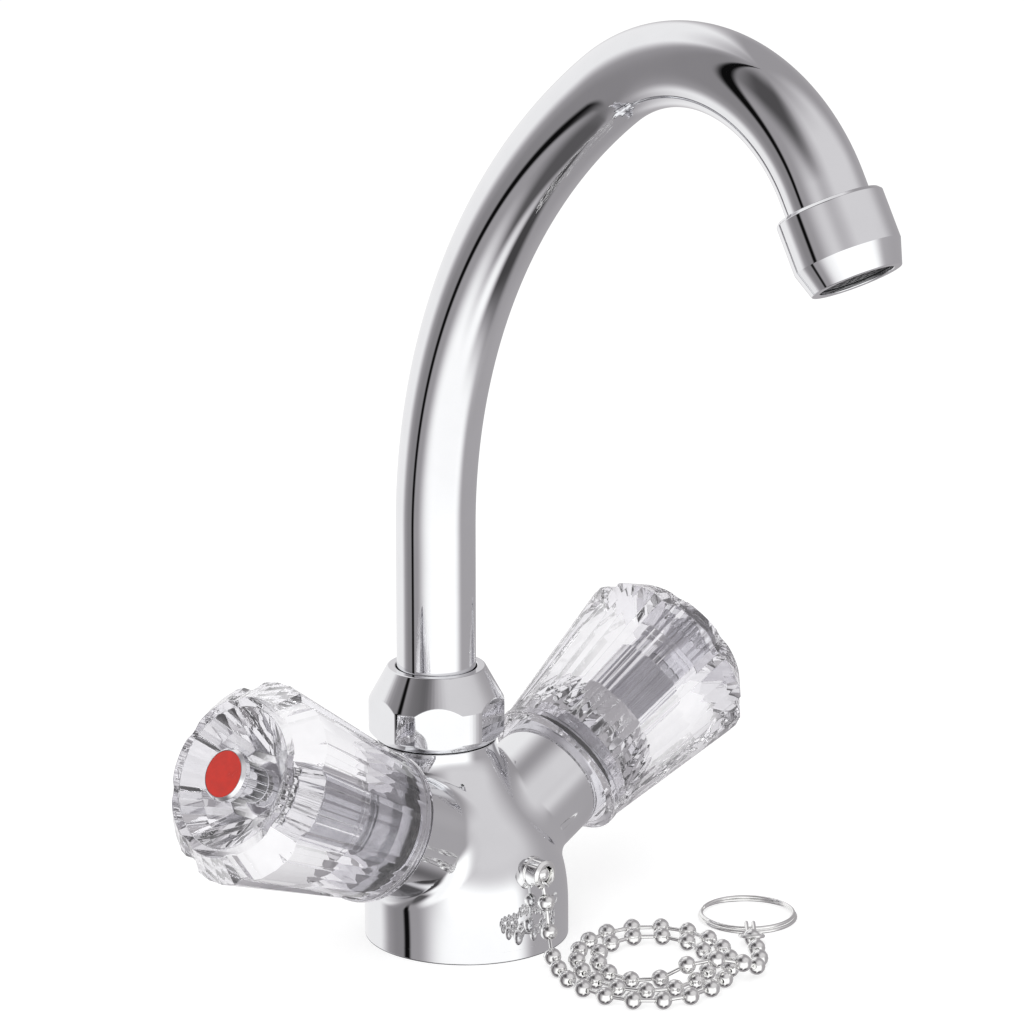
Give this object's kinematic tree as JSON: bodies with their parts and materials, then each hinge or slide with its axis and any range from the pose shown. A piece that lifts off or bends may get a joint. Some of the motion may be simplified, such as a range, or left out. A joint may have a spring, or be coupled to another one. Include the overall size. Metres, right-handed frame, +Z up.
{
  "type": "basin mixer tap",
  "caption": "Deck-mounted basin mixer with a swivelling swan-neck spout, two angled screw-down valves with clear faceted knobs, and a ball chain with a plug ring.",
  "frame": {"origin": "centre of the round base, on the deck it stands on", "axes": "+Z up along the tap's height, -Y towards the basin and the spout's outlet, -X towards the hot knob and +X towards the cold one"},
  "size_m": [0.1748, 0.1634, 0.2408],
  "materials": {
    "chrome": "bright polished chrome plate",
    "brass": "machined, oiled",
    "steel": "bright nickel finish",
    "rubber": "matt",
    "slip_plastic": "smooth",
    "grey_plastic": "smooth",
    "clear_acrylic": "clear, polished, faceted",
    "red_enamel": "gloss",
    "blue_enamel": "gloss"
  },
  "bodies": {
    "tap_base": {"tap_body": "chrome", "base_gasket": "rubber", "spout_nut": "chrome", "thrust_washer": "slip_plastic", "slip_ring": "slip_plastic", "chain_eyelet": "steel", "chain_beads": "steel", "chain_links": "steel", "chain_clip": "steel", "plug_ring": "steel", "hot_bonnet": "brass", "hot_bonnet_seal": "rubber", "cold_bonnet": "brass", "cold_bonnet_seal": "rubber"},
    "spout": {"spout_tube": "chrome", "spout_collar": "brass", "spout_o_rings": "rubber", "spout_ferrule": "chrome", "aerator_housing": "chrome", "aerator_washer": "rubber", "aerator_insert": "grey_plastic"},
    "hot_handle": {"hot_spindle": "brass", "hot_spindle_o_rings": "rubber", "hot_circlip": "steel", "hot_knob": "clear_acrylic", "hot_knob_bush": "brass", "hot_knob_screw": "steel", "hot_index_cap": "chrome", "hot_index_disc": "red_enamel"},
    "hot_valve": {"hot_jumper": "brass", "hot_jumper_washer": "rubber", "hot_washer_screw": "brass"},
    "cold_handle": {"cold_spindle": "brass", "cold_spindle_o_rings": "rubber", "cold_circlip": "steel", "cold_knob": "clear_acrylic", "cold_knob_bush": "brass", "cold_knob_screw": "steel", "cold_index_cap": "chrome", "cold_index_disc": "blue_enamel"},
    "cold_valve": {"cold_jumper": "brass", "cold_jumper_washer": "rubber", "cold_washer_screw": "brass"}
  },
  "joints": [
    {"name": "spout_swivel", "type": "hinge", "parent": "tap_base", "child": "spout", "pos_m": [0, 0.0107, 0.05], "axis": [0, 0, 1], "continuous": true},
    {"name": "hot_turn", "type": "hinge", "parent": "tap_base", "child": "hot_handle", "pos_m": [0, 0, 0.0189], "axis": [-0.8902, 0, 0.4555], "range_deg": [0, 900]},
    {"name": "hot_lift", "type": "slide", "parent": "tap_base", "child": "hot_valve", "axis": [-0.8902, 0, 0.4555], "range_m": [0, 0.0038]},
    {"name": "cold_turn", "type": "hinge", "parent": "tap_base", "child": "cold_handle", "pos_m": [0, 0, 0.0189], "axis": [0.8902, 0, 0.4555], "range_deg": [0, 900]},
    {"name": "cold_lift", "type": "slide", "parent": "tap_base", "child": "cold_valve", "axis": [0.8902, 0, 0.4555], "range_m": [0, 0.0038]}
  ],
  "couplings": [
    {"joint": "hot_lift", "follows": "hot_turn", "m_per_rad": 0.00023873},
    {"joint": "cold_lift", "follows": "cold_turn", "m_per_rad": 0.00023873}
  ]
}
